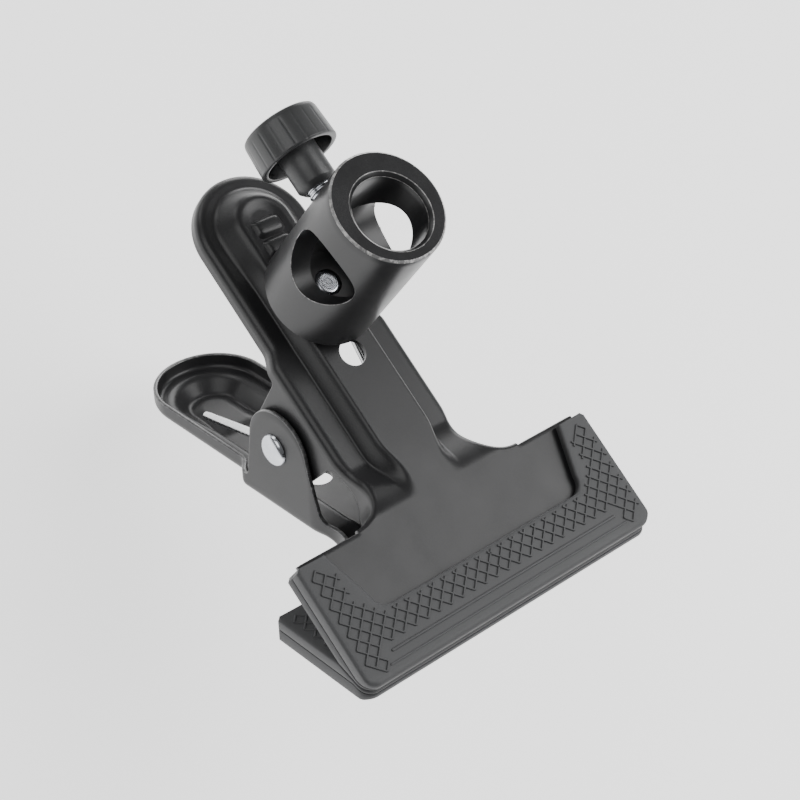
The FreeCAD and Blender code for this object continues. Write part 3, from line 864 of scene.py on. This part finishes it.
def receiver_piece():
    """Steel body with its four bores; the faces are sorted into three finishes by their place."""
    low, high = RECEIVER_Z
    inner_foot, inner_end, chamfer_foot = (high - below for below in LIP_Z)
    rounding = high - ROUNDING_Z
    wall = RECEIVER_R
    outside = [(CREST_Z, 0), (CREST_Z, FOOT_R), (low, FOOT_R), (low, wall - 0.5), (low + 0.5, wall),
               (high - 0.55, wall), (rounding, wall - 0.04), (high - 0.12, wall - 0.32),
               (high, wall - 0.52), (high, 0)]
    body = lathe("receiver_shell", dense(outside, 1.6), (0, 0, 1), (RECEIVER_X, 0, 0), 144)
    bore = [(SOCKET_FLOOR_Z, 0), (SOCKET_FLOOR_Z, BORE), (inner_foot, BORE), (inner_end, BORE + 0.05),
            (chamfer_foot, BORE + 0.72), (high + 0.05, BORE + 0.95), (high + 1.0, BORE + 1.9),
            (high + 1.0, 0)]
    cut(body, lathe("bore", dense(bore, 1.6), (0, 0, 1), (0, 0, 0), 112))
    cross = [(-30, 0), (-30, BORE), (30, BORE), (30, 0)]
    cut(body, lathe("cross", dense(cross, 1.5), (0, 1, 0), (0, 0, 0), 112))
    tap = [(4, 0), (4, TAP_R), (30, TAP_R), (30, 0)]
    cut(body, lathe("tap", dense(tap, 2.0), (-1, 0, 0), (0, 0, 0), 40))
    hole = [(-30, 0), (-30, SCREW_HOLE_R), (-10, SCREW_HOLE_R), (-10, 0)]
    cut(body, lathe("hole", dense(hole, 2.0), (0, 0, 1), (RECEIVER_X, 0, 0), 48))
    clean(body)
    body.data.materials.clear()
    for _ in range(3):
        body.data.materials.append(None)
    # slot 1, on the chamfers at the mouth and round the top, is the paler edge finish: painted highlight
    # with some wear
    for face in body.data.polygons:
        x, y, z = face.center / MM
        from_bore = math.hypot(x, y)
        on_lip = inner_foot < z < inner_end or chamfer_foot < z < high
        inner_edge = on_lip and from_bore < MOUTH_R
        outer_edge = z > rounding and from_bore > 10.5 and abs(face.normal.z) < 0.99
        if face.normal.z > 0.99 and z > high - 0.1:
            face.material_index = 2
        elif inner_edge or outer_edge:
            face.material_index = 1
    bore_rim_wear_and_highlight(body)
    return body


receiver = receiver_piece()
dress(receiver, (ANODISED, ANODISED_EDGE_SHEEN_AND_WEAR, TURNED), "upper", ["receiver"], 30)


# ---- screws, knob and rivet -----------------------------------------------
def threaded_stud():
    """M6 stud: helical thread, cone point flush with the bore."""
    pitch, thread_r, thread_depth = 1.0, 3.0, 0.30
    tip_x, back_x = -BORE, -29.0
    runs = np.arange(back_x, tip_x - 1.5, pitch / 8)

    def thread(a, radius, turn):
        if a > tip_x - 1.6 or radius[0] < 2.9:
            return radius
        phase = (a / pitch - turn / (2 * math.pi)) % 1.0
        return radius - thread_depth * np.clip(1.35 * np.abs(2 * phase - 1) - 0.15, 0, 1)

    profile = [(back_x, 0.0)] + [(x, thread_r) for x in runs]
    profile += [(tip_x - 1.45, 2.95), (tip_x - 0.3, 2.35), (tip_x - 0.06, 2.2), (tip_x, 2.0), (tip_x, 0.0)]
    return lathe("stud", profile, (1, 0, 0), (0, 0, 0), 48, thread)


stud = threaded_stud()
dress(stud, (PLATED,), "lock_stud", ["clamp_stud"], 50)

FLUTES = 20
FLUTE_DEPTH = 0.03 + 0.10 * RNG.random(FLUTES) ** 2


def knob_piece():
    """Hand knob: fluted cap, cup towards the receiver, stem on the stud."""
    back, front, stem_end = -31.2, -22.9, -15.4
    flutes_start = back + 1.2
    cap_r, flare, smallest_fluted = 8.5, 0.4, 8.2
    groove_width, fade_in = 0.07, 0.9      # share of a flute's pitch, and millimetres

    def flutes(a, radius, turn):
        if radius[0] < smallest_fluted or a < flutes_start:
            return radius
        pitch = 2 * math.pi / FLUTES
        index = np.floor(turn / pitch).astype(int) % FLUTES
        off = (turn / pitch) % 1.0 - 0.5
        groove = np.exp(-(off / groove_width) ** 2) * FLUTE_DEPTH[index]
        fade = float(step((a - flutes_start) / fade_in))
        return radius - groove * fade

    # the profile's parts: rounded end, fluted side, rim, cup with its floor, stem and its end
    cap = [(back, 0.0), (back, 5.5), (back, 7.6)]
    cap += [(back + 0.08, 8.05), (back + 0.3, 8.35), (back + 0.8, 8.52)]
    for x in np.linspace(flutes_start, front - 0.35, 14):
        cap.append((x, cap_r + flare * (x - back) / (front - back)))
    cap += [(front - 0.1, 8.72), (front, 8.5), (front, 7.75), (front - 0.08, 7.58), (front - 0.3, 7.5)]
    cap += [(front - 4.9, 7.4), (front - 5.15, 7.2), (front - 5.2, 6.9), (front - 5.2, 5.1)]
    cap += [(front - 5.05, 4.65), (front - 4.7, 4.45), (front - 2.0, 4.4)]
    cap += [(stem_end - 1.3, 4.4), (stem_end - 1.05, 4.3), (stem_end - 0.15, 3.5)]
    cap += [(stem_end, 3.36), (stem_end, TAP_R), (stem_end - 1.0, TAP_R), (stem_end - 1.0, 0.0)]
    return lathe("knob_cap", cap, (1, 0, 0), (0, 0, 0), 320, flutes)


knob = knob_piece()
dress(knob, (PLASTIC,), "lock_knob", ["knob"], 34)


def receiver_screw_piece():
    """Pan head screw from beneath; its turned tip shows at the bottom of the socket."""
    head_top = CREST_Z - SHEET
    base = head_top - 3.0
    recess_r, head_r, shank_r = 1.7, 5.2, 3.0
    tip = SOCKET_FLOOR_Z
    recess = [(base + 1.8, 0.0), (base + 1.8, recess_r), (base + 0.1, recess_r), (base, 1.82)]
    head = [(base, 4.1), (base + 0.12, 4.6), (base + 0.45, 5.0), (base + 1.0, head_r), (head_top, head_r)]
    shank = [(head_top, shank_r), (tip - 0.8, shank_r), (tip - 0.35, 2.75), (tip - 0.08, 2.35)]
    # grooves that the turning left in the tip
    grooves = [(tip - 0.02, 2.2), (tip - 0.02, 1.95), (tip - 0.14, 1.85), (tip - 0.14, 1.5),
               (tip - 0.02, 1.4), (tip - 0.02, 0.95), (tip - 0.16, 0.85), (tip - 0.16, 0.5),
               (tip - 0.04, 0.42), (tip - 0.04, 0.0)]
    profile = recess + head + shank + grooves
    return lathe("socket_screw", profile, (0, 0, 1), (RECEIVER_X, 0, 0), 72)


screw = receiver_screw_piece()
dress(screw, (PLATED,), "upper", ["receiver_screw"], 30)


def rivet_piece():
    """Pivot rivet with a domed head at each end."""
    half = LOWER["ear_y"] + 0.02
    pin_r, dome_r, dome_rise = 2.5, 3.6, 1.38
    dome = [(half, pin_r), (half, 3.55), (half + 0.12, 3.68), (half + 0.3, 3.62)]
    for t in np.linspace(0.1, 1, 10):
        a = t * math.pi / 2
        dome.append((half + 0.3 + dome_rise * math.sin(a), dome_r * math.cos(a)))
    profile = [(-a, r) for a, r in reversed(dome)] + dome
    profile[0] = (profile[0][0], 0.0)
    profile[-1] = (profile[-1][0], 0.0)
    return lathe("rivet", profile, (0, 1, 0), PIVOT, 72)


rivet = rivet_piece()
dress(rivet, (PLATED,), "lower", ["pivot_rivet"], 50)


# ---- torsion spring -------------------------------------------------------
COIL_R = 5.0
COIL_PITCH = 2.3
COIL_Y = 0.9                   # middle of the coil, a little to one side
WHOLE_TURNS = 8
WIRE_R = 1.05
LEG_TIP = np.array([-16.4, 0.0, -30.5])


def spring_path():
    """Middle line of the wire: upper leg, coil and lower leg, which mirrors the upper one."""
    tip = LEG_TIP
    reach = tip - PIVOT
    upper = math.atan2(reach[2], reach[0]) - math.acos(COIL_R / math.hypot(reach[0], reach[2]))
    lower = 2 * math.radians(MIRROR_DEG) - upper
    turns = WHOLE_TURNS + (upper - lower) / (2 * math.pi)
    span = turns * COIL_PITCH
    path = []
    side = np.array([0.0, span / 2, 0.0])
    start = PIVOT + COIL_R * np.array([math.cos(upper), 0, math.sin(upper)]) + side
    for t in np.linspace(0, 1, 30)[:-1]:
        path.append((tip + side) * (1 - t) + start * t)
    for a in np.linspace(0, turns * 2 * math.pi, 560):
        b = upper - a
        y = span / 2 - COIL_PITCH * a / (2 * math.pi)
        path.append(PIVOT + np.array([COIL_R * math.cos(b), y, COIL_R * math.sin(b)]))
    low_tip = tip - 2 * ((tip - PIVOT) @ MIRROR_NORMAL) * MIRROR_NORMAL
    end = path[-1]
    for t in np.linspace(0, 1, 30)[1:]:
        path.append(end * (1 - t) + (low_tip - side) * t)
    return np.array(path) + np.array([0.0, COIL_Y, 0.0])


def spring_piece():
    """Round wire along the spring's path."""
    path = spring_path()
    tangent = np.gradient(path, axis=0)
    tangent /= np.linalg.norm(tangent, axis=1)[:, None]
    normal = unit(np.cross(tangent[0], (0, 1, 0)))
    sides = 18
    turn = np.linspace(0, 2 * math.pi, sides, endpoint=False)
    rings = []
    for k, (p, t) in enumerate(zip(path, tangent)):
        normal = unit(normal - (normal @ t) * t)
        other = np.cross(t, normal)
        r = WIRE_R * (0.93 if k in (0, len(path) - 1) else 1.0)
        rings.append(p + r * (np.cos(turn)[:, None] * normal + np.sin(turn)[:, None] * other))
    verts = np.concatenate(rings)
    faces = grid_faces(len(path), sides, wrap=True)
    faces.append(tuple(range(sides)))
    faces.append(tuple(range(len(verts) - sides, len(verts))))
    return new_object("spring", verts, faces)


spring = spring_piece()
dress(spring, (WIRE,), None, ["torsion_spring"], 50)
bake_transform(spring)

# ---- floor, light and camera ----------------------------------------------
FLOOR_GAP = 0.012              # metres below the lowest point of the object
FLOOR_GLOW = 1.25
WORLD_GLOW = 0.14
WHITE = (1.0, 1.0, 1.0, 1.0)
floor_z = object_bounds()[0][2] - FLOOR_GAP
bpy.ops.mesh.primitive_plane_add(size=4.0, location=(0.0, 0.0, floor_z))
floor = bpy.context.object
floor.name = "studio_floor"
floor_finish = finish_material(
    "pale_floor", dark=(0.86, 0.86, 0.86), light=(0.90, 0.90, 0.90),
    rough=(0.6, 0.7), grain=2.0, relief=0.01, mottle=120.0)
glow = floor_finish.node_tree.nodes["Principled BSDF"]
glow.inputs["Emission Color"].default_value = WHITE
glow.inputs["Emission Strength"].default_value = FLOOR_GLOW
floor.data.materials.append(floor_finish)

world = bpy.data.worlds.new("studio")
world.use_nodes = True
world.node_tree.nodes["Background"].inputs["Color"].default_value = WHITE
world.node_tree.nodes["Background"].inputs["Strength"].default_value = WORLD_GLOW
bpy.context.scene.world = world


def softbox(name, place, target, size, radiance):
    """Square area light of a given brightness, aimed at a point; places and sizes are metres."""
    light = bpy.data.lights.new(name, "AREA")
    light.shape = "SQUARE"
    light.size = size
    light.energy = radiance * math.pi * size * size
    obj = bpy.data.objects.new(name, light)
    obj.location = place
    obj.rotation_euler = (Vector(target) - Vector(place)).to_track_quat("-Z", "Y").to_euler()
    bpy.context.scene.collection.objects.link(obj)


softbox("overhead", (0.22, 0.40, 0.48), (0.04, 0.0, -0.03), 0.60, 4.6)
softbox("front_fill", (-0.24, -0.66, 0.74), (0.0, 0.0, -0.02), 0.75, 2.0)
softbox("left_strip", (-0.55, -0.10, 0.20), (0.0, 0.0, -0.02), 0.25, 2.5)
softbox("back_left", (-0.52, 0.50, 0.02), (-0.01, 0.0, -0.05), 0.40, 5.0)
softbox("right_rim", (0.70, 0.40, 0.30), (0.02, 0.0, -0.03), 0.35, 1.6)

# the camera was solved from the photograph, in metres in the CAD's frame
CAMERA_PLACE = (0.09234, -0.22830, 0.32405)
CAMERA_AIM = (0.03011, -0.00891, -0.00457)
CAMERA_ROLL_DEG = 43.73

camera = bpy.data.cameras.new("camera")
camera.sensor_width = 36.0
camera.lens = 90.8
camera.clip_start = 0.01
camera.clip_end = 20.0
view = bpy.data.objects.new("camera", camera)
bpy.context.scene.collection.objects.link(view)
view.location = CAMERA_PLACE
aim = Vector(CAMERA_AIM) - view.location
roll = Quaternion((0.0, 0.0, 1.0), math.radians(CAMERA_ROLL_DEG))
view.rotation_mode = "QUATERNION"
view.rotation_quaternion = aim.to_track_quat("-Z", "Y") @ roll
bpy.context.scene.camera = view
